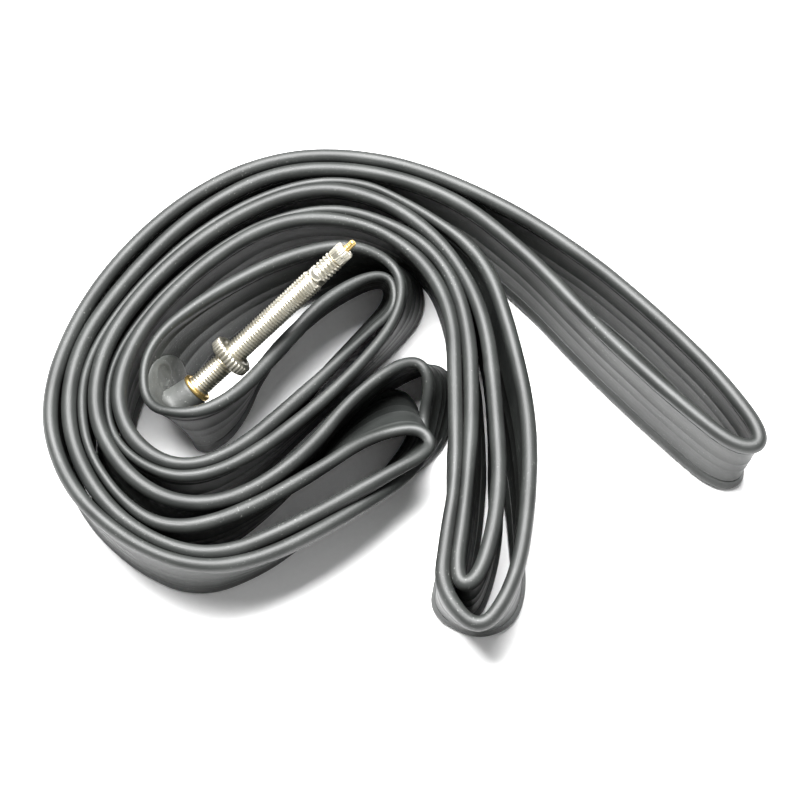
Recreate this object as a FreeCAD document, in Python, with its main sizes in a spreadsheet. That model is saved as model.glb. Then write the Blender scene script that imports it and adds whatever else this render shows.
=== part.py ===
import FreeCAD, Part
import Sketcher
import math
import os
from FreeCAD import Placement, Rotation, Vector

# Bicycle inner tube, let down flat and coiled on its edge, with its Presta valve.
# The tube is one endless flat ribbon, doubled on itself, so two strands run side by side.
# Millimetres, +Z up, origin on the ground under the middle of the coil.

doc = FreeCAD.newDocument("inner_tube")

# ---------------------------------------------------------------- driving dimensions
SIZES = {
    # the flat tube
    "tube_width": 25.4,
    "tube_thickness": 2.2,
    "tube_wall": 0.8,
    # where the valve's axis crosses the middle of the ribbon, and which way it points
    "valve_x": -57.9,
    "valve_y": -5.4,
    "valve_z": 11.4,
    "valve_heading": 32.4,
    "valve_rise": 31.0,
    # rubber round the valve
    "patch_thickness": 0.7,
    "patch_radius": 9.5,
    "patch_margin": 2.0,
    "rod_reach": 8.0,
    "hole_reach": 4.0,
    "boss_foot_radius": 6.2,
    "boss_top_radius": 3.8,
    "boss_top": 8.3,
    # brass ring on the boss
    "collar_radius": 4.0,
    "collar_top": 9.5,
    # threaded stem, heights measured along the valve's axis from the ribbon's middle
    "stem_foot_radius": 4.0,
    "stem_foot_low": 5.4,
    "stem_foot_top": 6.2,
    "stem_shank_radius": 2.3,
    "stem_thread_radius": 2.95,
    "stem_tip_radius": 2.55,
    "stem_taper_low": 48.8,
    "stem_top": 49.6,
    "stem_bore_radius": 1.8,
    "core_seat": 41.2,
    "core_bore_radius": 2.2,
    # lock ring on the stem
    "ring_bore_radius": 3.0,
    "ring_radius": 5.6,
    "ring_waist_radius": 4.9,
    "ring_low": 19.1,
    "ring_rim_low": 19.7,
    "ring_rim_top": 21.9,
    "ring_top": 22.5,
    # valve core, screwed into the stem
    "core_low": 39.4,
    "core_nose_radius": 1.5,
    "core_step": 42.2,
    "core_thread_radius": 2.15,
    "core_shoulder": 49.7,
    "cap_thread_radius": 2.6,
    "core_top": 56.5,
    "core_flats_apart": 4.4,
    "core_flats_length": 1.6,
    "pin_hole_radius": 0.95,
    "gasket_radius": 2.1,
    "gasket_low": 41.3,
    # pin, its nut and its seal
    "pin_radius": 0.9,
    "pin_low": 36.4,
    "pin_top": 63.3,
    "pin_round": 0.5,
    "nut_radius": 2.4,
    "nut_low": 56.6,
    "nut_top": 60.6,
    "nut_edge": 0.4,
    "seal_radius": 1.5,
    "seal_low": 37.8,
    "seal_top": 39.3,
    "cup_low": 36.8,
    "cup_radius": 1.4,
}

sheet = doc.addObject("Spreadsheet::Sheet", "sheet")
for row, (alias, value) in enumerate(SIZES.items(), start=1):
    sheet.set(f"A{row}", alias)
    sheet.set(f"B{row}", str(value))
    sheet.setAlias(f"B{row}", alias)
doc.recompute()

# Corners of the ribbon's centre line, seen from above. Consecutive corners are joined by
# straight runs, and each corner is rounded by the largest arc that its two runs allow.
ROUTE = [
    # round the valve, and out along the far side of its pocket
    (-58.5, -5.5), (-58.5, 6.5), (-49, 20.5), (-31.5, 32), (-15, 37), (-2.5, 32),
    # right turn, back to the left and round the inside of the coil
    (1, 21.5), (-4, 9), (-19.5, -9), (-37, -25.5), (-52, -32), (-65.5, -26),
    (-73, -14), (-73, 4), (-61, 24.5), (-42, 42), (-22.5, 49), (-6, 44.5),
    # down the right-hand group, inner turn at its foot, and up again
    (9, 33.5), (16, 14.5), (16.5, -12.5), (14.5, -38), (11.5, -59.5), (18, -58),
    (23, -36), (22.5, -10.5), (20, 17.5), (9, 38.5),
    # over the top and round the left-hand side
    (-6.5, 51), (-23.5, 54.5), (-43.5, 45.5), (-63, 27), (-75, 5.5), (-76, -14),
    (-67.5, -29.5), (-55, -38), (-40, -37), (-24, -25), (-11.5, -6.5),
    # outer turn at the middle of the coil
    (1.5, 4.5), (6.5, 2), (8, -9.5), (4.5, -23),
    # outermost strand: front, left, top and out to the long loop
    (-16, -35.5), (-36, -49.5), (-51, -55), (-68, -46.5), (-81, -33), (-88, -13),
    (-83, 12), (-69.5, 36.5), (-50, 55.5), (-29.5, 64.5), (-5.5, 63.5), (19, 53),
    (41.5, 37), (62, 16.5), (78, -3),
    # tip of the long loop and back along its near side
    (88.5, -20.5), (81.5, -23.5), (66, -8.5), (48.5, 11), (31, 34), (12, 52),
    (-10.5, 60), (-33, 59.5), (-53.5, 46.5), (-70.5, 25.5), (-82, 3.5), (-82, -18.5),
    (-73, -37), (-59, -48.5), (-43.5, -50.5), (-27.5, -39.5),
    # inner turn at the middle of the coil
    (-6.5, -26), (4, -15.5), (0.5, -5.5), (-8.5, -12),
    # left, up and over the top again
    (-23, -27.5), (-41.5, -42), (-56.5, -45), (-68.5, -36.5), (-78, -20.5), (-79.5, 0.5),
    (-70, 22), (-52, 43.5), (-30.5, 56), (-12, 56.5), (3.5, 47.5),
    # down the right-hand group, outer turn at its foot, and up again
    (19.5, 33.5), (25.5, 11.5), (30.5, -15.5), (31, -41), (26.5, -58.5), (17.5, -66.5),
    (8, -58), (9.5, -47.5), (12.5, -31), (12.5, -7), (12, 18),
    # innermost strand: over the top, left and front
    (2, 35.5), (-13.5, 44.5), (-32.5, 44), (-51, 30.5), (-65.5, 12), (-71, -6.5),
    (-66.5, -20.5), (-55, -28.5), (-41, -24.5), (-24.5, -7.5),
    # sharp turn inside the right turn, and back along the near side of the valve's pocket
    (-9.5, 9), (-1.5, 20.5), (-5, 30), (-18, 20), (-28.5, 6), (-40, -9),
    (-52, -13),
]
ARC_SHARE = 0.45                    # part of the shorter run that an arc takes
VALVE_CORNERS = (-2, -1, 0, 1, 2)   # the corners of the route next to the valve


def rounded_corners(route):
    """Each corner's arc: its centre, its radius, +1 for a left turn, and its angles."""
    arcs = []
    for index, corner in enumerate(route):
        here = Vector(*corner, 0)
        before = Vector(*route[index - 1], 0) - here
        after = Vector(*route[(index + 1) % len(route)], 0) - here
        run = min(before.Length, after.Length)
        arrive = before.normalize() * -1
        leave = after.normalize()
        turn = math.atan2(arrive.cross(leave).z, arrive.dot(leave))
        side = math.copysign(1, turn)
        reach = ARC_SHARE * run
        radius = reach / math.tan(abs(turn) / 2)
        start = here - arrive * reach
        centre = start + Vector(-arrive.y, arrive.x, 0) * side * radius
        first = math.atan2(start.y - centre.y, start.x - centre.x)
        arcs.append((centre, radius, side, first, turn))
    return arcs


ARCS = rounded_corners(ROUTE)


def arc_point(arc, offset, share):
    """A point of a corner's arc, moved to the left by offset; share runs from 0 to 1."""
    centre, radius, side, first, turn = arc
    angle = first + turn * share
    return centre + Vector(math.cos(angle), math.sin(angle), 0) * (radius - side * offset)


def offset_outline(offset):
    """The closed route, moved to the left by offset, as runs and tangent arcs."""
    edges = []
    for index, arc in enumerate(ARCS):
        start, middle, end = (arc_point(arc, offset, share) for share in (0, 0.5, 1))
        edges.append(Part.Arc(start, middle, end).toShape())
        following = arc_point(ARCS[(index + 1) % len(ARCS)], offset, 0)
        edges.append(Part.LineSegment(end, following).toShape())
    return Part.Wire(edges)


def band_face(left, right):
    """The flat area between two offsets of the whole route."""
    faces = [Part.Face(offset_outline(offset)) for offset in (left, right)]
    faces.sort(key=lambda face: face.Area)
    return faces[1].cut(faces[0])


def strip_face(corners, left, right):
    """The flat area between two offsets of a few corners of the route, closed at its ends."""
    edges = []
    last = None
    for offset, order in ((left, corners), (right, reversed(corners))):
        for corner in order:
            shares = (0, 0.5, 1) if offset == left else (1, 0.5, 0)
            points = [arc_point(ARCS[corner], offset, share) for share in shares]
            if last is not None:
                edges.append(Part.LineSegment(last, points[0]).toShape())
            edges.append(Part.Arc(*points).toShape())
            last = points[-1]
    edges.append(Part.LineSegment(last, arc_point(ARCS[corners[0]], left, 0)).toShape())
    return Part.Face(Part.Wire(edges))


def add_band(name, plan_face, width, low):
    """A standing band: a flat area raised by a width of the tube."""
    plan = doc.addObject("Part::Feature", name + "_plan")
    plan.Shape = plan_face
    band = doc.addObject("Part::Extrusion", name)
    band.Base = plan
    band.DirMode = "Custom"
    band.Dir = Vector(0, 0, 1)
    band.Solid = True
    band.setExpression("LengthFwd", width)
    band.setExpression(".Placement.Base.z", low)
    return band


# ---------------------------------------------------------------- the valve's own axis
heading = math.radians(sheet.valve_heading)
rise = math.radians(sheet.valve_rise)
AXIS = Vector(math.cos(rise) * math.cos(heading), math.cos(rise) * math.sin(heading), math.sin(rise))
SIDEWAYS = Vector(-math.sin(heading), math.cos(heading), 0)
VALVE = Placement(
    Vector(sheet.valve_x, sheet.valve_y, sheet.valve_z),
    Rotation(SIDEWAYS.cross(AXIS), SIDEWAYS, AXIS, "XYZ"),
)


def plane_of(body, role):
    return next(plane for plane in body.Origin.OriginFeatures if plane.Role == role)


def value_of(size):
    """The value of a sum of sheet sizes, such as 'nut_low + nut_edge'."""
    total = 0.0
    sign = 1
    for word in size.split():
        if word in "+-":
            sign = 1 if word == "+" else -1
        else:
            total += sign * (getattr(sheet, word) if word in SIZES else float(word))
    return total


def fix_size(sketch, kind, line, value, size):
    """Holds a line's first point at a size from the sheet, measured from the sketch's origin."""
    index = sketch.addConstraint(Sketcher.Constraint(kind, -1, 1, line, 1, value))
    words = ["sheet." + word if word in SIZES else word for word in size.split()]
    sketch.setExpression(f"Constraints[{index}]", " ".join(words))


def turned(label, outline):
    """A turned body round the valve's axis. The outline is a list of (radius, height) pairs."""
    body = doc.addObject("PartDesign::Body", label)
    sketch = body.newObject("Sketcher::SketchObject", label + "_outline")
    sketch.AttachmentSupport = [(plane_of(body, "XZ_Plane"), "")]
    sketch.MapMode = "FlatFace"
    values = [[value_of(size) for size in corner] for corner in outline]
    count = len(outline)
    for index in range(count):
        start = Vector(*values[index], 0)
        end = Vector(*values[(index + 1) % count], 0)
        sketch.addGeometry(Part.LineSegment(start, end), False)
    for index in range(count):
        sketch.addConstraint(Sketcher.Constraint("Coincident", index, 2, (index + 1) % count, 1))
    for index, corner in enumerate(outline):
        if corner[0] == "0":
            sketch.addConstraint(Sketcher.Constraint("PointOnObject", index, 1, -2))
        else:
            fix_size(sketch, "DistanceX", index, values[index][0], corner[0])
        fix_size(sketch, "DistanceY", index, values[index][1], corner[1])
    doc.recompute()
    turn = body.newObject("PartDesign::Revolution", label + "_turn")
    turn.Profile = sketch
    turn.ReferenceAxis = (sketch, ["V_Axis"])
    turn.Angle = 360.0
    body.Placement = VALVE
    doc.recompute()
    return body


def valve_rod(name, radius):
    """A rod along the valve's axis, through the ribbon from one side to the other."""
    rod = doc.addObject("Part::Cylinder", name)
    rod.setExpression("Radius", radius)
    rod.setExpression("Height", "2 * sheet.rod_reach")
    rod.Placement = VALVE.multiply(Placement(Vector(0, 0, -sheet.rod_reach), Rotation()))
    return rod


# ---------------------------------------------------------------- the tube and its rubber
half = sheet.tube_thickness / 2
inside = half - sheet.tube_wall

tube_outside = add_band("tube_outside", band_face(half, -half), "sheet.tube_width", "0")
tube_cavity = add_band(
    "tube_cavity", band_face(inside, -inside),
    "sheet.tube_width - 2 * sheet.tube_wall", "sheet.tube_wall")
tube_hollow = doc.addObject("Part::Cut", "tube_hollow")
tube_hollow.Base = tube_outside
tube_hollow.Tool = tube_cavity

# The air hole runs from the flat cavity into the valve, along the valve's axis. It goes
# through the ribbon's near wall only, so it is kept to the valve's side of the centre line.
air_bore = valve_rod("air_bore", "sheet.stem_bore_radius")
valve_side = add_band(
    "valve_side", strip_face(VALVE_CORNERS, 0, -sheet.hole_reach), "sheet.tube_width", "0")
air_hole = doc.addObject("Part::Common", "air_hole")
air_hole.Base = air_bore
air_hole.Tool = valve_side
inner_tube = doc.addObject("Part::Cut", "inner_tube")
inner_tube.Base = tube_hollow
inner_tube.Tool = air_hole

# The patch lies on the ribbon, on the right-hand side of the route, so it is a round slice
# of a thin band that follows the ribbon round the valve.
patch_face = -half - sheet.patch_thickness
patch_band = add_band(
    "patch_band", strip_face(VALVE_CORNERS, -half, patch_face),
    "sheet.tube_width - 2 * sheet.patch_margin", "sheet.patch_margin")
patch_disc = valve_rod("patch_disc", "sheet.patch_radius")
patch_whole = doc.addObject("Part::Common", "patch_whole")
patch_whole.Base = patch_band
patch_whole.Tool = patch_disc
valve_patch = doc.addObject("Part::Cut", "valve_patch")
valve_patch.Base = patch_whole
valve_patch.Tool = air_hole

# The boss is a cone on the valve's axis, cut to the ribbon and the patch under it.
boss_cone = turned("boss_cone", [
    ("stem_bore_radius", "0 - rod_reach"),
    ("boss_foot_radius", "0 - rod_reach"),
    ("boss_foot_radius", "stem_foot_low"),
    ("boss_top_radius", "boss_top"),
    ("stem_shank_radius", "boss_top"),
    ("stem_shank_radius", "stem_foot_top"),
    ("stem_foot_radius", "stem_foot_top"),
    ("stem_foot_radius", "stem_foot_low"),
    ("stem_bore_radius", "stem_foot_low"),
])
behind_face = add_band(
    "behind_face", strip_face(VALVE_CORNERS, 2 * sheet.rod_reach, patch_face),
    "sheet.tube_width", "0")
valve_base = doc.addObject("Part::Cut", "valve_base")
valve_base.Base = boss_cone
valve_base.Tool = behind_face

# ---------------------------------------------------------------- the metal valve
base_collar = turned("base_collar", [
    ("stem_thread_radius", "boss_top"),
    ("collar_radius", "boss_top"),
    ("collar_radius", "collar_top"),
    ("stem_thread_radius", "collar_top"),
])

valve_stem = turned("valve_stem", [
    ("stem_bore_radius", "stem_foot_low"),
    ("stem_foot_radius", "stem_foot_low"),
    ("stem_foot_radius", "stem_foot_top"),
    ("stem_shank_radius", "stem_foot_top"),
    ("stem_shank_radius", "boss_top"),
    ("stem_thread_radius", "boss_top"),
    ("stem_thread_radius", "stem_taper_low"),
    ("stem_tip_radius", "stem_top"),
    ("core_bore_radius", "stem_top"),
    ("core_bore_radius", "core_seat"),
    ("stem_bore_radius", "core_seat"),
])

lock_ring = turned("lock_ring", [
    ("ring_bore_radius", "ring_low"),
    ("ring_waist_radius", "ring_low"),
    ("ring_radius", "ring_rim_low"),
    ("ring_radius", "ring_rim_top"),
    ("ring_waist_radius", "ring_top"),
    ("ring_bore_radius", "ring_top"),
])

core_turned = turned("core_turned", [
    ("pin_hole_radius", "core_low"),
    ("core_nose_radius", "core_low"),
    ("core_nose_radius", "core_step"),
    ("core_thread_radius", "core_step"),
    ("core_thread_radius", "core_shoulder"),
    ("cap_thread_radius", "core_shoulder"),
    ("cap_thread_radius", "core_top"),
    ("pin_hole_radius", "core_top"),
])
# two flats for a spanner, just above the shoulder
flats = []
for side in (1, -1):
    flat = doc.addObject("Part::Box", f"core_flat_{'left' if side > 0 else 'right'}")
    flat.setExpression("Length", "2 * sheet.cap_thread_radius")
    flat.setExpression("Width", "sheet.cap_thread_radius")
    flat.setExpression("Height", "sheet.core_flats_length")
    width = sheet.cap_thread_radius
    across = sheet.core_flats_apart / 2 if side > 0 else -sheet.core_flats_apart / 2 - width
    corner = Vector(-width, across, sheet.core_shoulder)
    flat.Placement = VALVE.multiply(Placement(corner, Rotation()))
    flats.append(flat)
both_flats = doc.addObject("Part::MultiFuse", "both_flats")
both_flats.Shapes = flats
core_body = doc.addObject("Part::Cut", "core_body")
core_body.Base = core_turned
core_body.Tool = both_flats

core_gasket = turned("core_gasket", [
    ("core_nose_radius", "gasket_low"),
    ("gasket_radius", "gasket_low"),
    ("gasket_radius", "core_step"),
    ("core_nose_radius", "core_step"),
])

core_pin = turned("core_pin", [
    ("0", "pin_low"),
    ("pin_radius", "pin_low"),
    ("pin_radius", "pin_top - pin_round"),
    ("pin_radius - pin_round", "pin_top"),
    ("0", "pin_top"),
])

pin_nut = turned("pin_nut", [
    ("pin_hole_radius", "nut_low"),
    ("nut_radius - nut_edge", "nut_low"),
    ("nut_radius", "nut_low + nut_edge"),
    ("nut_radius", "nut_top - nut_edge"),
    ("nut_radius - nut_edge", "nut_top"),
    ("pin_hole_radius", "nut_top"),
])

pin_seal = turned("pin_seal", [
    ("pin_radius", "seal_low"),
    ("seal_radius", "seal_low"),
    ("seal_radius", "seal_top"),
    ("pin_radius", "seal_top"),
])

seal_cup = turned("seal_cup", [
    ("pin_radius", "cup_low"),
    ("cup_radius", "cup_low"),
    ("cup_radius", "seal_low"),
    ("pin_radius", "seal_low"),
])

doc.recompute()

# ---------------------------------------------------------------- check and write
PIECES = [
    inner_tube, valve_patch, valve_base, base_collar, valve_stem, lock_ring,
    core_body, core_gasket, core_pin, pin_nut, pin_seal, seal_cup,
]

for item in doc.Objects:
    if "Invalid" in item.State or "Error" in item.State:
        raise RuntimeError(f"{item.Name} failed: {item.State}")

os.makedirs("parts", exist_ok=True)
for piece in PIECES:
    shape = piece.Shape
    if shape.isNull() or not shape.isValid() or len(shape.Solids) != 1:
        raise RuntimeError(f"{piece.Label} is not one valid solid")
    shape.exportStep(f"parts/{piece.Label}.step")
    print(f"{piece.Label}: {shape.Volume:.1f} mm3")

length = offset_outline(0).Length
section = sheet.tube_thickness * sheet.tube_width
print(f"centre line {length:.1f} mm, outside volume {tube_outside.Shape.Volume:.1f} mm3, "
      f"section times length {section * length:.1f} mm3")
radii = sorted(arc[1] for arc in ARCS)
print(f"smallest arc radii: {', '.join(f'{radius:.1f}' for radius in radii[:8])} mm")
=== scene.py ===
import bpy
import math
import numpy as np
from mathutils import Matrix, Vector, noise


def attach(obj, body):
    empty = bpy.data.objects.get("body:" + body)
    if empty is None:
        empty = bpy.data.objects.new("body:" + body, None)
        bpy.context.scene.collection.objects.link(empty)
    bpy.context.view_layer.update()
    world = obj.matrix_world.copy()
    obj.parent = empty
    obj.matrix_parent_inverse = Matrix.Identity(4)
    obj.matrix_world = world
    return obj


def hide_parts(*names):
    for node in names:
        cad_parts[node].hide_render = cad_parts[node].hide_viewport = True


# Bicycle inner tube, let down flat and coiled on its edge, with its valve.
# Metres, +Z up, in the frame of the CAD model. Values said to be in MM are millimetres.

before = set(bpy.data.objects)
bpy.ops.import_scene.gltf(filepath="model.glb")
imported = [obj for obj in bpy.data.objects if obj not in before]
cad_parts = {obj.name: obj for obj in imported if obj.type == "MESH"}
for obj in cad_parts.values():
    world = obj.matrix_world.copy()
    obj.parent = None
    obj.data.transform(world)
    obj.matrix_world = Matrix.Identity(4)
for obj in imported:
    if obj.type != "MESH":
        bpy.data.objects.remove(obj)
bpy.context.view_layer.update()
MM = 0.001

# ---------------------------------------------------------------- the tube's route
# Corners of the ribbon's line, seen from above: in metres here, in MM in part.py.
# The first list was a scratch program's fit to strands traced by eye on the photo. After that 72
# of the 117 corners were typed anew, led by moves that a scratch ruler printed.
ROUTE = [
    # round the valve, and out along the far side of its pocket
    (-0.0585, -0.0055), (-0.0585, 0.0065), (-0.0490, 0.0205), (-0.0315, 0.0320),
    (-0.0150, 0.0370), (-0.0025, 0.0320),
    # right turn, back to the left and round the inside of the coil
    (0.0010, 0.0215), (-0.0040, 0.0090), (-0.0195, -0.0090), (-0.0370, -0.0255),
    (-0.0520, -0.0320), (-0.0655, -0.0260),
    (-0.0730, -0.0140), (-0.0730, 0.0040), (-0.0610, 0.0245), (-0.0420, 0.0420),
    (-0.0225, 0.0490), (-0.0060, 0.0445),
    # down the right-hand group, inner turn at its foot, and up again
    (0.0090, 0.0335), (0.0160, 0.0145), (0.0165, -0.0125), (0.0145, -0.0380),
    (0.0115, -0.0595), (0.0180, -0.0580),
    (0.0230, -0.0360), (0.0225, -0.0105), (0.0200, 0.0175), (0.0090, 0.0385),
    # over the top and round the left-hand side
    (-0.0065, 0.0510), (-0.0235, 0.0545), (-0.0435, 0.0455), (-0.0630, 0.0270),
    (-0.0750, 0.0055), (-0.0760, -0.0140),
    (-0.0675, -0.0295), (-0.0550, -0.0380), (-0.0400, -0.0370), (-0.0240, -0.0250),
    (-0.0115, -0.0065),
    # outer turn at the middle of the coil
    (0.0015, 0.0045), (0.0065, 0.0020), (0.0080, -0.0095), (0.0045, -0.0230),
    # outermost strand: front, left, top and out to the long loop
    (-0.0160, -0.0355), (-0.0360, -0.0495), (-0.0510, -0.0550), (-0.0680, -0.0465),
    (-0.0810, -0.0330), (-0.0880, -0.0130),
    (-0.0830, 0.0120), (-0.0695, 0.0365), (-0.0500, 0.0555), (-0.0295, 0.0645),
    (-0.0055, 0.0635), (0.0190, 0.0530),
    (0.0415, 0.0370), (0.0620, 0.0165), (0.0780, -0.0030),
    # tip of the long loop and back along its near side
    (0.0885, -0.0205), (0.0815, -0.0235), (0.0660, -0.0085), (0.0485, 0.0110),
    (0.0310, 0.0340), (0.0120, 0.0520),
    (-0.0105, 0.0600), (-0.0330, 0.0595), (-0.0535, 0.0465), (-0.0705, 0.0255),
    (-0.0820, 0.0035), (-0.0820, -0.0185),
    (-0.0730, -0.0370), (-0.0590, -0.0485), (-0.0435, -0.0505), (-0.0275, -0.0395),
    # inner turn at the middle of the coil
    (-0.0065, -0.0260), (0.0040, -0.0155), (0.0005, -0.0055), (-0.0085, -0.0120),
    # left, up and over the top again
    (-0.0230, -0.0275), (-0.0415, -0.0420), (-0.0565, -0.0450), (-0.0685, -0.0365),
    (-0.0780, -0.0205), (-0.0795, 0.0005),
    (-0.0700, 0.0220), (-0.0520, 0.0435), (-0.0305, 0.0560), (-0.0120, 0.0565),
    (0.0035, 0.0475),
    # down the right-hand group, outer turn at its foot, and up again
    (0.0195, 0.0335), (0.0255, 0.0115), (0.0305, -0.0155), (0.0310, -0.0410),
    (0.0265, -0.0585), (0.0175, -0.0665),
    (0.0080, -0.0580), (0.0095, -0.0475), (0.0125, -0.0310), (0.0125, -0.0070),
    (0.0120, 0.0180),
    # innermost strand: over the top, left and front
    (0.0020, 0.0355), (-0.0135, 0.0445), (-0.0325, 0.0440), (-0.0510, 0.0305),
    (-0.0655, 0.0120), (-0.0710, -0.0065),
    (-0.0665, -0.0205), (-0.0550, -0.0285), (-0.0410, -0.0245), (-0.0245, -0.0075),
    # sharp turn inside the right turn, and back along the near side of the valve's pocket
    (-0.0095, 0.0090), (-0.0015, 0.0205), (-0.0050, 0.0300), (-0.0180, 0.0200),
    (-0.0285, 0.0060), (-0.0400, -0.0090),
    (-0.0520, -0.0130),
]

# Where the ribbon leans: for a row of the route, how far the ribbon's upper edge and its lower
# edge stand off the route, as (upper x, upper y, lower x, lower y) in MM.
LEANS = {
    0: (-6.3, -4.1, 5.5, 3.5), 1: (-6.4, 1.4, 4.4, -1), 2: (-0.4, 0.3, 1, -1.1), 4: (0, 0, 0.6, 3),
    5: (0.3, 0.2, 5.5, 12.5), 6: (-1.4, -0.1, 4.2, 9.5), 7: (-1, 0.5, 2.5, 12), 8: (0, 0, -0.8, 10.4),
    9: (0, 0, -2.4, 5.2), 10: (0, 0, -0.4, 1.6), 16: (0, 0, -0.4, 2), 17: (0, 0, 0.6, 4),
    18: (0, 0, 2.4, 3.6), 19: (0, 0, 1.6, 0.8), 20: (0, 0, 3, 0), 21: (0, 0, 3, 0),
    22: (0, 0, 1.5, 2), 23: (0, 0, 0, 2), 26: (0, 0, 0.8, 0), 27: (0, 0, 1.6, 2),
    28: (0, 0, 0.6, 2.4), 29: (0, 0, -0.2, 1.2), 36: (0, 0, -1.2, 2.4), 37: (0, 0, -2.4, 4.4),
    38: (0, -0.3, -3.6, 6), 39: (0.3, -0.5, 3.5, 10.5), 40: (0, -3, 7, 8.5), 41: (-4.5, -1, 3.5, 2.5),
    42: (1.5, 1, -2.5, 6.5), 43: (3.4, -4.6, -3.4, 4.6), 44: (1.4, -3.9, -1.4, 3.9),
    45: (0, 0, 0, 4.8), 46: (0, 0, 2.4, 3.2), 47: (0, 0, 3.6, 2), 48: (0, 0, 2.4, 0),
    57: (0, 0, -1.5, 1), 58: (0, 0, -3.5, 2.2), 59: (0, 0, -3.5, 2.2), 60: (0, 0, -1.5, 1.5),
    69: (0, 0, 2, 0.4), 70: (0, 0, 2.4, 1.6), 71: (0, 0, 1.2, 3.4), 72: (0.3, -1.5, -0.9, 4.5),
    73: (2.2, -3.8, -2.2, 3.8), 74: (1.5, -4.5, -1.2, 3.8), 75: (4, -6.5, 0, 9.5),
    76: (3.5, -10.2, -0.5, 10), 77: (1.5, -6, -2, 13), 78: (1.3, -2.3, -3.8, 6.7), 79: (0, 0, -2, 4),
    80: (0, 0, -0.4, 3.2), 81: (0, 0, 1.2, 1.6), 89: (0.8, 0, -2.2, 0),
    90: (1.5, 0, -5, 0), 91: (0.8, 0, -5, 0), 92: (-1.4, 0, -3, 1), 93: (-1, -1.5, 1, 1.5),
    94: (0, -5.4, 0, 5.4), 95: (0.4, -2.6, -0.4, 2.6), 96: (0.3, 0, -0.3, 0), 99: (0, 0, 2, 1.6),
    100: (0, 0, 4, 6.4), 101: (0, 0, 1, 6.8), 102: (0, 0, -0.6, 3.2), 107: (0, 0, 0, 0.8),
    108: (0, 0, -1.6, 3.6), 109: (0, 0, -3.6, 8.8), 110: (0, 1.5, -4.5, 12.5), 111: (0.3, 0, -2, 14),
    112: (1, 1, -1, 11), 113: (-0.5, 2, -3.6, 12.4), 114: (-1.3, 0.9, -8, 10),
    115: (-0.8, 0.8, -3, 4), 116: (-0.4, -1.2, 0.4, 1.2),
}

# Where the ribbon is lifted off the ground, over the strands that it crosses, in MM.
LIFTS = {75: 2.4, 76: 6.4, 77: 4.5, 78: 0.5}

# Where the ribbon stands lower than its full width, as the width lost, in MM. Rows 41 and 42 are
# pressed down under the strand that crosses them. The others sink in among their neighbours.
PRESSED = {
    11: 0.8, 12: 2.6, 13: 3.2, 14: 3.2, 15: 2.6, 16: 1.4, 41: 11.0, 42: 8.0, 83: 1.2, 84: 2.4, 85: 2.8,
    86: 1.8, 111: 1.2, 112: 1.2,
}

# Where the ribbon's rounded edges are slimmer than usual, as (first row, last row, share).
SLIM_ROWS = [
    (0, 1, 0.6), (4, 4, 0.85), (5, 5, 0.7), (6, 6, 0.6), (7, 7, 0.7), (8, 8, 0.85), (11, 16, 0.55),
    (38, 42, 0.75), (75, 77, 0.75), (81, 88, 0.6), (110, 112, 0.5), (116, 116, 0.8),
]

# Where the rounded edges swell a little, at marks of the mould and of splicing, as (x, y) in MM.
SPLICES = [(11.5, 18.0), (22.0, 0.0), (-86.5, 0.0)]
SPLICE_REACH = 1.3                  # how far a swelling reaches, in MM
SPLICE_SWELL = 0.12                 # its share of the edge's radius

# ---------------------------------------------------------------- sizes
TUBE_WIDTH = 25.4 * MM
EDGE_RADIUS = 1.9 * MM              # the round edge along each side of the flat tube
NARROWING = 0.6                     # the width lost where the edges are slim, per radius lost
FLAT_HALF = 0.8 * MM                # half the thickness of the flat part between the edges
LEAST_EDGE = 0.95 * MM              # an edge's smallest radius, where strands press on one another
SAME_STRAND = 9.0 * MM              # points nearer than this along the tube don't press
FAR_AWAY = 1.0                      # stands in for their distance, so that they don't count
STEPS_PER_CORNER = 14
SMOOTHING_STEPS = 3                 # the squeezed radius is the mean over this many steps each way

VALVE_POINT = Vector((-57.9, -5.4, 11.4)) * MM
VALVE_HEADING = math.radians(32.4)
VALVE_RISE = math.radians(31.0)

PATCH_LONG = 15.0 * MM              # half the length of the rubber patch, along the tube
PATCH_WIDE = 11.6 * MM              # half its width, across the tube
PATCH_THICK = 0.7 * MM
MARK_PLACE = (8.0 * MM, 5.0 * MM)   # the moulded ring on the patch, along and across the tube
MARK_RADIUS = 2.9 * MM
MARK_RELIEF = 0.28 * MM
MARK_BREADTH = 0.35 * MM

# The valve's threads, in MM: radius over the crests, where they start and end, pitch and depth.
STEM_CREST, STEM_LOW, STEM_HIGH = 2.95, 9.5, 48.8
STEM_PITCH, STEM_DEPTH = 0.8, 0.30
CAP_CREST, CAP_LOW, CAP_HIGH = 2.6, 51.3, 56.3
CAP_PITCH, CAP_DEPTH = 1.06, 0.36
PIN_CREST, PIN_LOW, PIN_HIGH = 0.9, 61.0, 62.6
PIN_PITCH, PIN_DEPTH = 0.45, 0.1

# The two flats of the core, in MM: half the width across them, and where they start and end.
WRENCH_HALF, WRENCH_LOW, WRENCH_HIGH = 2.2, 49.75, 51.25

# ---------------------------------------------------------------- materials
TALC = (0.34, 0.35, 0.33)
# painted shade: the dark colour that the metal takes in its thread and knurl grooves, where shade falls
GROOVE_SHADE = (0.10, 0.09, 0.06)

# The sockets that a mix node uses for colours, by their places in its lists.
COLOR_A, COLOR_B, COLOR_RESULT = 6, 7, 2


def node_tools(name):
    """A new material's shader, and short ways to add a node and to link two sockets."""
    material = bpy.data.materials.new(name)
    material.use_nodes = True
    tree = material.node_tree
    shader = tree.nodes["Principled BSDF"]

    def add(kind, **settings):
        node = tree.nodes.new(kind)
        for key, value in settings.items():
            if hasattr(node, key):
                setattr(node, key, value)
            else:
                node.inputs[key].default_value = value
        return node

    return material, shader, add, tree.links.new


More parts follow.
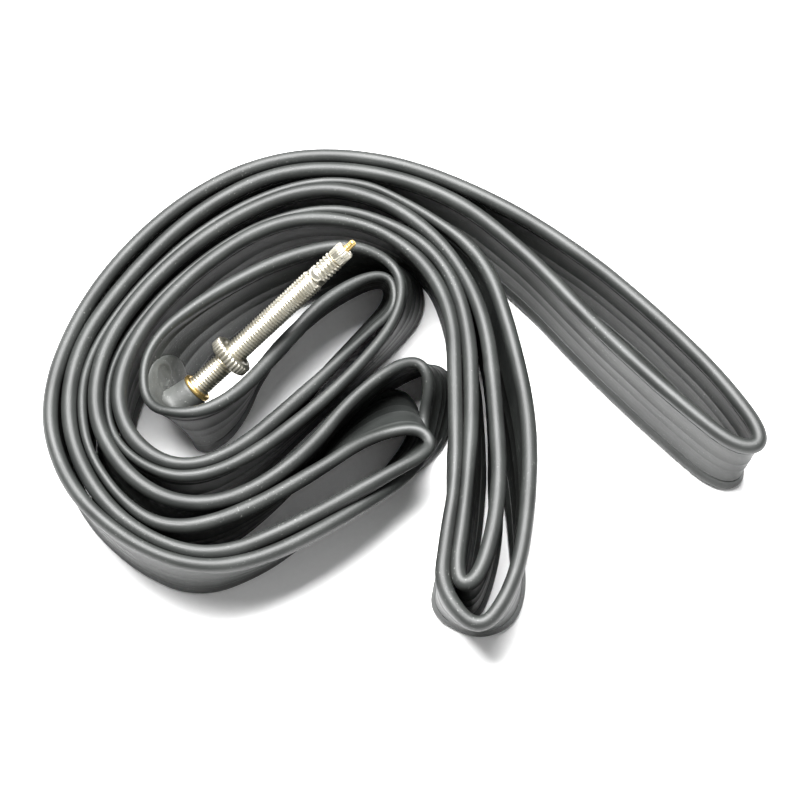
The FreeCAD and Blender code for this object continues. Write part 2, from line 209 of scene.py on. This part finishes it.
def add_ramp(add, stops):
    """A colour ramp with the given (place, grey or colour) stops."""
    ramp = add("ShaderNodeValToRGB")
    points = ramp.color_ramp.elements
    while len(points) < len(stops):
        points.new(0.5)
    for point, (place, color) in zip(points, stops):
        point.position = place
        point.color = (*color, 1) if isinstance(color, tuple) else (color, color, color, 1)
    return ramp


def rubber_material(name, dark, light, roughness, lined=False):
    """Black rubber: cloudy, with grains of talc and a soft bump. When lined, the fine grain follows
    the mesh's "along" attribute, so that it draws lines along the tube."""
    material, shader, add, link = node_tools(name)
    place = add("ShaderNodeTexCoord").outputs["Object"]
    clouds = add("ShaderNodeTexNoise", Scale=90.0, Detail=4.0)
    link(place, clouds.inputs["Vector"])
    tone = add_ramp(add, [(0.35, dark), (0.7, light)])
    link(clouds.outputs["Fac"], tone.inputs["Fac"])

    lines_from = place
    if lined:
        lines_from = add("ShaderNodeAttribute", attribute_name="along").outputs["Vector"]
    lines = add("ShaderNodeTexNoise", Scale=1.0 if lined else 1200.0, Detail=3.0)
    link(lines_from, lines.inputs["Vector"])

    talc = add("ShaderNodeTexNoise", Scale=1900.0, Detail=2.0)
    link(place, talc.inputs["Vector"])
    specks = add_ramp(add, [(0.66, 0.0), (0.76, 1.0)])
    link(talc.outputs["Fac"], specks.inputs["Fac"])
    dusty = add("ShaderNodeTexNoise", Scale=45.0, Detail=2.0)
    link(place, dusty.inputs["Vector"])
    where = add_ramp(add, [(0.42, 0.0), (0.75, 0.55)])
    link(dusty.outputs["Fac"], where.inputs["Fac"])
    amount = add("ShaderNodeMath", operation="MULTIPLY")
    link(specks.outputs["Color"], amount.inputs[0])
    link(where.outputs["Color"], amount.inputs[1])
    dust = add("ShaderNodeMix", data_type="RGBA")
    link(amount.outputs[0], dust.inputs["Factor"])
    link(tone.outputs["Color"], dust.inputs[COLOR_A])
    dust.inputs[COLOR_B].default_value = (*TALC, 1)
    link(dust.outputs[COLOR_RESULT], shader.inputs["Base Color"])

    gloss = add("ShaderNodeMapRange")
    link(lines.outputs["Fac"], gloss.inputs["Value"])
    gloss.inputs["To Min"].default_value = roughness - 0.07
    gloss.inputs["To Max"].default_value = roughness + 0.09
    link(gloss.outputs["Result"], shader.inputs["Roughness"])

    heights = add("ShaderNodeMath", operation="ADD")
    link(lines.outputs["Fac"], heights.inputs[0])
    link(talc.outputs["Fac"], heights.inputs[1])
    bump = add("ShaderNodeBump", Strength=0.25, Distance=0.00012)
    link(heights.outputs[0], bump.inputs["Height"])
    link(bump.outputs["Normal"], shader.inputs["Normal"])
    return material


def metal_material(name, bright, dull, roughness):
    """Plated or turned metal: slightly tarnished, with fine scratches, and painted shade darkening the
    grooves.
    """
    material, shader, add, link = node_tools(name)
    place = add("ShaderNodeTexCoord").outputs["Object"]
    tarnish = add("ShaderNodeTexNoise", Scale=260.0, Detail=4.0)
    link(place, tarnish.inputs["Vector"])
    tone = add_ramp(add, [(0.38, bright), (0.72, dull)])
    link(tarnish.outputs["Fac"], tone.inputs["Fac"])
    # painted shade: the deeper the groove, the more the metal's colour is darkened, standing in for the
    # shade in its recesses
    groove = add("ShaderNodeAttribute", attribute_name="groove")
    groove_shade = add("ShaderNodeMix", data_type="RGBA")
    link(groove.outputs["Fac"], groove_shade.inputs["Factor"])
    link(tone.outputs["Color"], groove_shade.inputs[COLOR_A])
    groove_shade.inputs[COLOR_B].default_value = (*GROOVE_SHADE, 1)
    link(groove_shade.outputs[COLOR_RESULT], shader.inputs["Base Color"])
    scratches = add("ShaderNodeTexNoise", Scale=3500.0, Detail=2.0)
    link(place, scratches.inputs["Vector"])
    gloss = add("ShaderNodeMapRange")
    link(scratches.outputs["Fac"], gloss.inputs["Value"])
    gloss.inputs["To Min"].default_value = roughness - 0.08
    gloss.inputs["To Max"].default_value = roughness + 0.12
    link(gloss.outputs["Result"], shader.inputs["Roughness"])
    bump = add("ShaderNodeBump", Strength=0.12, Distance=0.00003)
    link(scratches.outputs["Fac"], bump.inputs["Height"])
    link(bump.outputs["Normal"], shader.inputs["Normal"])
    shader.inputs["Metallic"].default_value = 1.0
    return material


def floor_material():
    """White paper with a very faint grain."""
    material, shader, add, link = node_tools("white_paper")
    grain = add("ShaderNodeTexNoise", Scale=900.0, Detail=3.0)
    link(add("ShaderNodeTexCoord").outputs["Object"], grain.inputs["Vector"])
    tone = add_ramp(add, [(0.3, 0.90), (0.7, 0.92)])
    link(grain.outputs["Fac"], tone.inputs["Fac"])
    link(tone.outputs["Color"], shader.inputs["Base Color"])
    shader.inputs["Roughness"].default_value = 0.9
    shader.inputs["Specular IOR Level"].default_value = 0.1
    return material


TUBE_RUBBER = rubber_material(
    "tube_rubber", dark=(0.009, 0.0102, 0.0095), light=(0.020, 0.022, 0.0205), roughness=0.50, lined=True)
PATCH_RUBBER = rubber_material(
    "patch_rubber", dark=(0.008, 0.009, 0.008), light=(0.060, 0.063, 0.059), roughness=0.55)
SEAL_RUBBER = rubber_material(
    "seal_rubber", dark=(0.016, 0.016, 0.016), light=(0.03, 0.03, 0.03), roughness=0.55)
NICKEL = metal_material("nickel", bright=(0.80, 0.77, 0.66), dull=(0.64, 0.60, 0.49), roughness=0.28)
BRASS = metal_material("brass", bright=(0.86, 0.62, 0.24), dull=(0.62, 0.42, 0.14), roughness=0.28)

# ---------------------------------------------------------------- the ribbon's line
# Columns of the ribbon's rows: x and y, how far the upper and the lower edge stand off them, the
# lift, the share of the usual edge radius, and the width lost.
PLACE, UPPER, LOWER, LIFT, EDGE_SHARE, LOST = slice(0, 2), slice(2, 4), slice(4, 6), 6, 7, 8
COLUMNS = 9


def route_rows():
    """The route's corners with their leans, lifts, edge shares and lost widths, in metres."""
    rows = np.zeros((len(ROUTE), COLUMNS))
    rows[:, PLACE] = ROUTE
    rows[:, EDGE_SHARE] = 1.0
    for row, offsets in LEANS.items():
        rows[row, UPPER] = np.array(offsets[:2]) * MM
        rows[row, LOWER] = np.array(offsets[2:]) * MM
    for row, lift in LIFTS.items():
        rows[row, LIFT] = lift * MM
    for row, loss in PRESSED.items():
        rows[row, LOST] = loss * MM
    for first, last, share in SLIM_ROWS:
        rows[first:last + 1, EDGE_SHARE] = share
    return rows


def closed_spline(rows):
    """A closed quadratic B-spline through every column of the rows."""
    t = (np.arange(STEPS_PER_CORNER) / STEPS_PER_CORNER)[None, :, None]
    before = np.roll(rows, 1, axis=0)[:, None]
    after = np.roll(rows, -1, axis=0)[:, None]
    line = 0.5 * (1 - t) ** 2 * before + (0.5 + t - t * t) * rows[:, None] + 0.5 * t * t * after
    return line.reshape(-1, rows.shape[1])


def ring_noise(points, scale, seed):
    """Smooth seeded noise, one number for each point, about -1 to 1."""
    shift = Vector((seed, 2 * seed, 3 * seed))
    return np.array([noise.noise(Vector(point) * scale + shift) for point in points])


def normalized(vectors):
    """The vectors, each made one unit long."""
    return vectors / np.linalg.norm(vectors, axis=-1)[..., None]


class Ribbon:
    """The ribbon's frame along its closed line."""

    def __init__(self):
        line = closed_spline(route_rows())
        upper = line[:, PLACE] + line[:, UPPER]
        lower = line[:, PLACE] + line[:, LOWER]
        spread = upper - lower
        edge = EDGE_RADIUS * line[:, EDGE_SHARE]
        width = TUBE_WIDTH - NARROWING * (EDGE_RADIUS - edge) - line[:, LOST]
        height = np.sqrt(width ** 2 - (spread ** 2).sum(axis=1))
        self.centre = np.column_stack([(upper + lower) / 2, line[:, LIFT] + height / 2])
        self.half_width = width / 2
        self.up = normalized(np.column_stack([spread, height]))
        along = normalized(np.roll(self.centre, -1, axis=0) - np.roll(self.centre, 1, axis=0))
        self.right = normalized(np.cross(along, self.up))
        step = np.linalg.norm(np.roll(self.centre, -1, axis=0) - self.centre, axis=1)
        self.length = step.sum()
        self.distance = np.concatenate([[0], np.cumsum(step)[:-1]])
        self.edges = [self.squeezed(edge, side) for side in (1, -1)]
        nearest = np.linalg.norm(self.centre - np.array(VALVE_POINT), axis=1).argmin()
        self.valve_distance = self.distance[nearest]

    def squeezed(self, edge, side):
        """The radius of the upper (1) or lower (-1) edge, smaller where another strand presses."""
        middle = self.centre + self.up * (side * (self.half_width - edge))[:, None]
        apart = np.linalg.norm(middle[:, None] - middle[None], axis=2)
        along = np.abs(self.distance[:, None] - self.distance[None])
        apart[np.minimum(along, self.length - along) < SAME_STRAND] = FAR_AWAY
        room = (apart * edge[:, None] / (edge[:, None] + edge[None])).min(axis=1)
        room = np.minimum(np.maximum(room, LEAST_EDGE), edge)
        shifts = range(-SMOOTHING_STEPS, SMOOTHING_STEPS + 1)
        return np.mean([np.roll(room, shift) for shift in shifts], axis=0)

    def frames_at(self, distances):
        """Centres, right-hand directions and upward directions at distances from the valve."""
        at = (np.asarray(distances) + self.valve_distance) % self.length
        tables = []
        for values in (self.centre, self.right, self.up):
            closed = np.vstack([values, values[:1]])
            stations = np.append(self.distance, self.length)
            tables.append(np.column_stack([np.interp(at, stations, column) for column in closed.T]))
        return tables


RIBBON = Ribbon()

# ---------------------------------------------------------------- meshes


def grid_faces(rows, columns, close_rows, close_columns):
    """Quads of a grid of vertices, wrapped round in either direction."""
    faces = []
    for row in range(rows if close_rows else rows - 1):
        for column in range(columns if close_columns else columns - 1):
            here = row * columns
            there = (row + 1) % rows * columns
            beside = (column + 1) % columns
            faces.append((here + column, here + beside, there + beside, there + column))
    return faces


def add_piece(name, points, faces, material, body, node):
    """A piece that rides on a body and takes the place of a CAD node."""
    mesh = bpy.data.meshes.new(name)
    mesh.from_pydata(points.tolist(), [], faces)
    mesh.validate()
    mesh.shade_smooth()
    mesh.materials.append(material)
    piece = bpy.data.objects.new(name, mesh)
    bpy.context.scene.collection.objects.link(piece)
    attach(piece, body)
    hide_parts(node)
    return piece


# ---------------------------------------------------------------- the tube
# Ridges left by the mould on both faces, as heights above the middle and heights of relief, in MM.
MOULD_RIDGES = [(8.0, 0.16), (1.4, 0.12), (-2.6, 0.10), (-8.2, 0.14)]
# The profile of each: heights from its middle in MM, and shares of its relief.
RIDGE_PROFILE = [(0.45, 0), (0.15, 1), (-0.15, 1), (-0.45, 0)]

# A rounded edge turns from its top through this angle, in degrees. Then a neck leads in to the
# flat part, with points at (share of the edge's bulge, edge radii from its centre).
EDGE_TURN = 128
EDGE_POINTS = 11
NECK = [(0.30, 1.00), (0.06, 1.35)]

# How closely the grain is drawn along the tube, up its faces and from side to side.
GRAIN_ALONG, GRAIN_UP, GRAIN_SIDE = 60, 2400, 7


def edge_outline(edge, half_width):
    """One side of a rounded edge and the neck below it, as (across, up) pairs."""
    middle = half_width - edge
    outline = []
    for angle in np.radians(np.linspace(0, EDGE_TURN, EDGE_POINTS)):
        outline.append((edge * math.sin(angle), middle + edge * math.cos(angle)))
    for share, below in NECK:
        outline.append((FLAT_HALF + share * (edge - FLAT_HALF), middle - below * edge))
    return outline


def section_outline(upper, lower, half_width):
    """One side of the cross-section, from the upper edge to the lower, as (across, up) columns."""
    flat = []
    squeeze = half_width / (TUBE_WIDTH / 2)
    for middle, relief in MOULD_RIDGES:
        for offset, share in RIDGE_PROFILE:
            across = np.full_like(half_width, FLAT_HALF + relief * share * MM)
            flat.append((across, (middle + offset) * MM * squeeze))
    foot = [(across, -height) for across, height in reversed(edge_outline(lower, half_width))]
    outline = edge_outline(upper, half_width) + flat + foot
    across, height = zip(*outline)
    return np.stack(across, axis=1), np.stack(height, axis=1)


def make_tube():
    """The ribbon: its cross-section swept along the line, in one closed ring of faces."""
    swell = 1 + 0.05 * ring_noise(RIBBON.centre, scale=130, seed=3.1)
    for x, y in SPLICES:
        away = np.hypot(RIBBON.centre[:, 0] / MM - x, RIBBON.centre[:, 1] / MM - y)
        swell = swell * (1 + SPLICE_SWELL * np.exp(-(away / SPLICE_REACH) ** 2))
    upper, lower = (edge * swell for edge in RIBBON.edges)
    right_across, right_height = section_outline(upper, lower, RIBBON.half_width)
    across = np.hstack([right_across, -right_across[:, -2:0:-1]])
    height = np.hstack([right_height, right_height[:, -2:0:-1]])
    # slow waves of the flat faces, and a small wander of the whole ribbon
    bow = 0.2 * MM * ring_noise(RIBBON.centre, scale=55, seed=7.7)
    wander = 0.08 * MM * ring_noise(RIBBON.centre, scale=80, seed=1.3)
    flatness = 1 - (height / RIBBON.half_width[:, None]) ** 2
    across = across + bow[:, None] * flatness + wander[:, None]
    points = (RIBBON.centre[:, None] + RIBBON.right[:, None] * across[..., None]
              + RIBBON.up[:, None] * height[..., None])
    rings, size = across.shape
    faces = grid_faces(rings, size, close_rows=True, close_columns=True)
    tube = add_piece("tube_ribbon", points.reshape(-1, 3), faces, TUBE_RUBBER, "tube", "inner_tube")
    lines = tube.data.attributes.new("along", "FLOAT_VECTOR", "POINT")
    grain = np.zeros((rings, size, 3))
    grain[..., 0] = RIBBON.distance[:, None] * GRAIN_ALONG
    grain[..., 1] = height * GRAIN_UP
    grain[..., 2] = np.sign(across) * GRAIN_SIDE
    lines.data.foreach_set("vector", grain.reshape(-1))
    return tube


def make_patch():
    """The patch round the valve: a thin oval on the ribbon's face, with a moulded ring."""
    # rings of points from the middle out, closer together at the rim, the last one tucked under
    shares = np.concatenate([np.linspace(0, 0.9, 34), [0.94, 0.97, 0.99, 1.0, 1.0]])
    angles = np.linspace(0, 2 * math.pi, 120, endpoint=False)
    distance = PATCH_LONG * shares[:, None] * np.cos(angles)[None]
    height = PATCH_WIDE * shares[:, None] * np.sin(angles)[None]
    centre, right, up = RIBBON.frames_at(distance.reshape(-1))
    thick = PATCH_THICK * np.sqrt(np.clip(1 - shares ** 8, 0, 1))
    thick[-1] = -0.3 * MM
    out = FLAT_HALF + np.repeat(thick, len(angles))
    from_mark = np.hypot(distance - MARK_PLACE[0], height - MARK_PLACE[1]).reshape(-1)
    out += MARK_RELIEF * np.exp(-((from_mark - MARK_RADIUS) / MARK_BREADTH) ** 2)
    points = centre + right * out[:, None] + up * height.reshape(-1, 1)
    # wrinkles, which fade out towards the rim
    waves = ring_noise(points, scale=260, seed=4.4)
    waves *= np.repeat(np.clip(1.6 - 1.6 * shares, 0, 1), len(angles))
    creases = np.abs(ring_noise(points, scale=420, seed=9.2))
    creases *= np.repeat(np.clip(2 - 2 * shares, 0, 1), len(angles))
    points = points + right * (0.16 * MM * waves + 0.5 * MM * creases)[:, None]
    faces = grid_faces(len(shares), len(angles), close_rows=False, close_columns=True)
    patch = add_piece("patch", points, faces, PATCH_RUBBER, "tube", "valve_patch")
    return patch


# ---------------------------------------------------------------- the turned pieces of the valve
# Their outlines are (radius, height) pairs in MM, with heights from VALVE_POINT along the axis.
AXIS = Vector((
    math.cos(VALVE_RISE) * math.cos(VALVE_HEADING),
    math.cos(VALVE_RISE) * math.sin(VALVE_HEADING),
    math.sin(VALVE_RISE),
))
SIDEWAYS = Vector((-math.sin(VALVE_HEADING), math.cos(VALVE_HEADING), 0))
FORWARD = SIDEWAYS.cross(AXIS)
SHADED_GROOVE_DEPTH = 0.8                   # the depth in MM at which a groove would be all painted shade
MOST_GROOVE_SHADE = 0.5


def stretch(radius, low, high, count):
    """Evenly spaced points of a cylinder, for a thread or a knurl."""
    return [(radius, low + (high - low) * step / count) for step in range(count + 1)]


def turned(name, outline, material, body, node, relief=None, around=64):
    """A piece turned round the valve's axis from (radius, height) pairs in MM. The relief takes
    a radius, a height and angles, and gives how much each radius loses."""
    radius = np.array([pair[0] for pair in outline], float)[:, None]
    height = np.array([pair[1] for pair in outline], float)[:, None]
    angles = np.linspace(0, 2 * math.pi, around, endpoint=False)[None]
    loss = (relief(radius, height, angles) if relief else 0) + 0 * radius * angles
    radii = radius - loss
    heights = height + 0 * angles
    forward, sideways, axis = (np.array(vector) for vector in (FORWARD, SIDEWAYS, AXIS))
    points = (forward * (radii * np.cos(angles))[..., None] + sideways * (radii * np.sin(angles))[..., None]
              + axis * heights[..., None]) * MM + np.array(VALVE_POINT)
    hollow = outline[0][0] > 0
    faces = grid_faces(len(outline), around, close_rows=hollow, close_columns=True)
    piece = add_piece(name, points.reshape(-1, 3), faces, material, body, node)
    # painted shade: how deep each point lies below the outline, which darkens the metal's colour there
    groove = piece.data.attributes.new("groove", "FLOAT", "POINT")
    groove.data.foreach_set("value", np.clip(loss / SHADED_GROOVE_DEPTH, 0, MOST_GROOVE_SHADE).reshape(-1))
    return piece


def thread_relief(crest, low, high, pitch, depth):
    """A screw thread on the stretch from low to high, run out over half a turn at both ends.
    Its crests and roots are cut flat."""
    def relief(radius, height, angles):
        turns = height / pitch - angles / (2 * math.pi)
        wave = np.abs(2 * (turns - np.floor(turns)) - 1)
        fade = np.clip(np.minimum(height - low, high - height) / (0.5 * pitch), 0, 1)
        on_crest = (radius > crest - 0.01) & (height >= low) & (height <= high)
        return on_crest * fade * depth * np.clip(1.35 * wave - 0.15, 0, 1)
    return relief


def knurl_relief(above, teeth, depth):
    """Straight teeth on whatever stands out beyond a radius."""
    def relief(radius, height, angles):
        wave = 0.5 + 0.5 * np.cos(teeth * angles)
        return (radius > above) * depth * wave ** 2
    return relief


def make_boss():
    """The moulded rubber boss round the stem's foot."""
    outline = [
        (1.8, 0.4), (7.4, 0.9), (7.3, 1.35), (6.4, 1.62), (5.6, 1.95), (5.0, 2.6), (4.7, 3.4), (4.5, 4.6),
        (4.25, 6.0), (4.0, 7.4), (3.85, 8.1), (3.6, 8.3), (2.3, 8.3), (1.8, 8.0),
    ]
    return turned("boss", outline, PATCH_RUBBER, "tube", "valve_base")


def make_collar():
    """The brass ring at the stem's foot."""
    outline = [
        (STEM_CREST, 8.25), (3.7, 8.25), (3.95, 8.4), (4.05, 8.7), (4.0, 9.1), (3.8, 9.4), (3.5, 9.5),
        (STEM_CREST, 9.5),
    ]
    return turned("collar", outline, BRASS, "tube", "base_collar")


def make_stem():
    """The stem: a slim foot in the boss, the thread, and the bore, which widens for the core."""
    outline = [(1.8, 6.0), (2.3, 6.0), (2.3, 8.3), (STEM_CREST, 8.3)]
    outline += stretch(STEM_CREST, STEM_LOW, STEM_HIGH, 400)
    outline += [(2.75, 49.2), (2.5, 49.6), (2.2, 49.6), (2.2, 41.2), (1.8, 41.2)]
    thread = thread_relief(STEM_CREST, STEM_LOW, STEM_HIGH, STEM_PITCH, STEM_DEPTH)
    return turned("stem", outline, NICKEL, "tube", "valve_stem", thread, 56)


def make_ring():
    """The lock ring, with straight teeth round its widest part."""
    outline = [
        (3.0, 19.1), (4.6, 19.1), (4.9, 19.2), (5.1, 19.45), (5.55, 19.7), (5.6, 19.85), (5.6, 21.75),
        (5.55, 21.9), (5.1, 22.15), (4.9, 22.4), (4.6, 22.5), (3.0, 22.5),
    ]
    teeth = knurl_relief(above=5.3, teeth=30, depth=0.42)
    return turned("ring", outline, NICKEL, "ring", "lock_ring", teeth, 240)


def make_core():
    """The valve core: its shank in the stem, a collar with two flats, and the cap's thread."""
    outline = [
        (0.95, 39.4), (1.5, 39.4), (1.5, 42.2), (2.15, 42.2), (2.15, 49.7), (2.3, 49.7),
        (CAP_CREST, 49.9), (CAP_CREST, 51.2),
    ]
    outline += stretch(CAP_CREST, CAP_LOW, CAP_HIGH, 64)
    outline += [(2.3, 56.5), (0.95, 56.5)]
    thread = thread_relief(CAP_CREST, CAP_LOW, CAP_HIGH, CAP_PITCH, CAP_DEPTH)

    def relief(radius, height, angles):
        # what lies beyond a flat is pulled in along its radius until it lies on the flat
        across = np.abs(radius * np.sin(angles))
        beyond = radius * (1 - WRENCH_HALF / np.maximum(across, WRENCH_HALF))
        on_flats = (height > WRENCH_LOW) * (height < WRENCH_HIGH)
        return thread(radius, height, angles) + on_flats * beyond
    return turned("core", outline, NICKEL, "core", "core_body", relief, 72)


def make_nut():
    """The small knurled nut on the pin."""
    outline = [
        (0.95, 56.6), (1.9, 56.6), (2.2, 56.75), (2.4, 57.0), (2.4, 60.2), (2.2, 60.45), (1.9, 60.6),
        (0.95, 60.6),
    ]
    teeth = knurl_relief(above=2.3, teeth=20, depth=0.16)
    return turned("nut", outline, NICKEL, "nut", "pin_nut", teeth, 160)


def make_pin():
    """The valve pin, with a short thread below its rounded tip."""
    outline = [(0, 36.4), (PIN_CREST, 36.4)]
    outline += stretch(PIN_CREST, PIN_LOW, PIN_HIGH, 10)
    outline += [(0.82, 62.95), (0.62, 63.18), (0.35, 63.28), (0, 63.3)]
    thread = thread_relief(PIN_CREST, PIN_LOW, PIN_HIGH, PIN_PITCH, PIN_DEPTH)
    return turned("pin", outline, BRASS, "pin", "core_pin", thread, 40)


make_tube()
make_patch()
make_boss()
make_collar()
make_stem()
make_ring()
make_core()
make_nut()
make_pin()

# the hidden seals of the core keep their CAD shapes
for name, material in (("core_gasket", SEAL_RUBBER), ("pin_seal", SEAL_RUBBER), ("seal_cup", BRASS)):
    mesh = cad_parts[name].data
    mesh.materials.clear()
    mesh.materials.append(material)

# ---------------------------------------------------------------- floor, light and camera


def make_floor():
    """A sheet of white paper, larger than the picture."""
    reach = 3.0
    corners = [(-reach, -reach, 0), (reach, -reach, 0), (reach, reach, 0), (-reach, reach, 0)]
    mesh = bpy.data.meshes.new("floor")
    mesh.from_pydata(corners, [], [(0, 1, 2, 3)])
    mesh.materials.append(floor_material())
    floor = bpy.data.objects.new("floor", mesh)
    bpy.context.scene.collection.objects.link(floor)


def add_light(name, place, power, size):
    """A square lamp aimed at the frame's origin, which is near the middle of the coil."""
    light = bpy.data.lights.new(name, "AREA")
    light.energy = power
    light.size = size
    lamp = bpy.data.objects.new(name, light)
    lamp.location = place
    lamp.rotation_euler = (-Vector(place)).to_track_quat("-Z", "Y").to_euler()
    bpy.context.scene.collection.objects.link(lamp)


def add_camera():
    """A long lens that looks down at the coil from in front, at 60 degrees."""
    camera_data = bpy.data.cameras.new("camera")
    camera_data.sensor_width = 36
    camera_data.lens = 108
    camera_data.clip_start = 0.01
    camera = bpy.data.objects.new("camera", camera_data)
    camera.location = (-0.001, -0.3025, 0.5316)
    target = Vector((-0.001, -0.0025, 0.012))
    camera.rotation_euler = (target - camera.location).to_track_quat("-Z", "Y").to_euler()
    bpy.context.scene.collection.objects.link(camera)
    bpy.context.scene.camera = camera


def add_world():
    """Plain white light from all round."""
    world = bpy.data.worlds.new("studio")
    world.use_nodes = True
    background = world.node_tree.nodes["Background"]
    background.inputs["Color"].default_value = (1, 1, 1, 1)
    background.inputs["Strength"].default_value = 0.32
    bpy.context.scene.world = world
    bpy.context.scene.view_settings.view_transform = "Standard"


make_floor()
add_light("key", place=(-0.15, 0.25, 0.9), power=56, size=0.75)
add_light("fill", place=(0.4, -0.6, 0.7), power=1.8, size=0.8)
add_world()
add_camera()
